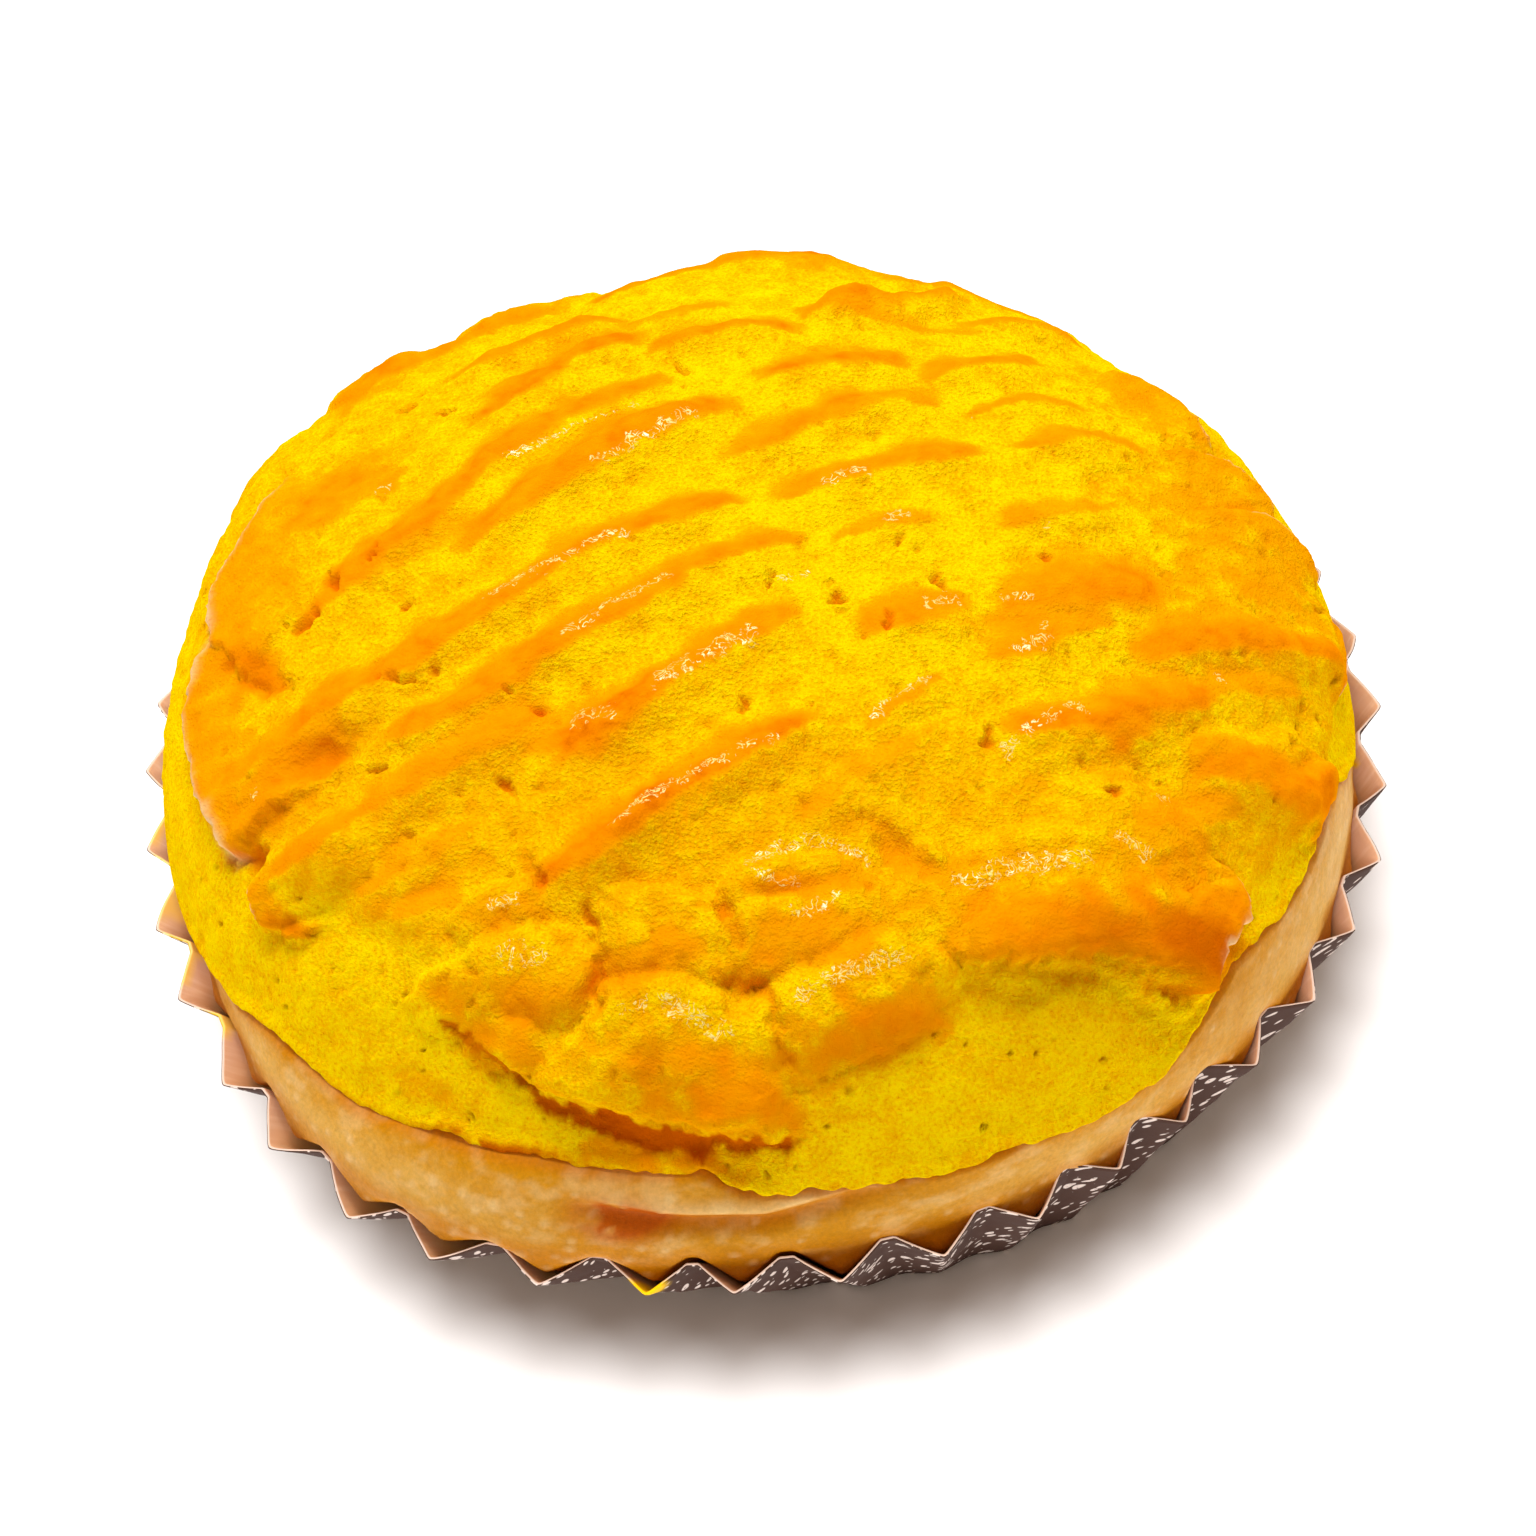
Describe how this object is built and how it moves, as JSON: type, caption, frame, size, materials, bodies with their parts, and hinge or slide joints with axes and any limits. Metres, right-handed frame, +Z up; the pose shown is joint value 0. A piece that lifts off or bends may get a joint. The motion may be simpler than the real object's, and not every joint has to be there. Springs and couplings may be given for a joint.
{
  "type": "pineapple bun",
  "caption": "Round sweet bun with a yellow biscuit-dough crust split into glazed ridges and lobes, in a pleated paper case.",
  "frame": {"origin": "on the table, under the middle of the bun's bounding box", "axes": "+Z up through the crust; -Y towards the torn front of the crust"},
  "size_m": [0.1038, 0.1045, 0.0483],
  "materials": {
    "case_paper": "thin pleated baking paper, brown print with pale strokes outside, pinkish tan inside",
    "bread": "baked milk bread skin, golden tan with small pale blisters",
    "crust": "baked biscuit dough, matt yellow crumb with egg-glazed orange ridges and lobes"
  },
  "bodies": {
    "root": {"paper_case": "case_paper", "bread_body": "bread", "crust_topping": "crust"}
  },
  "joints": []
}
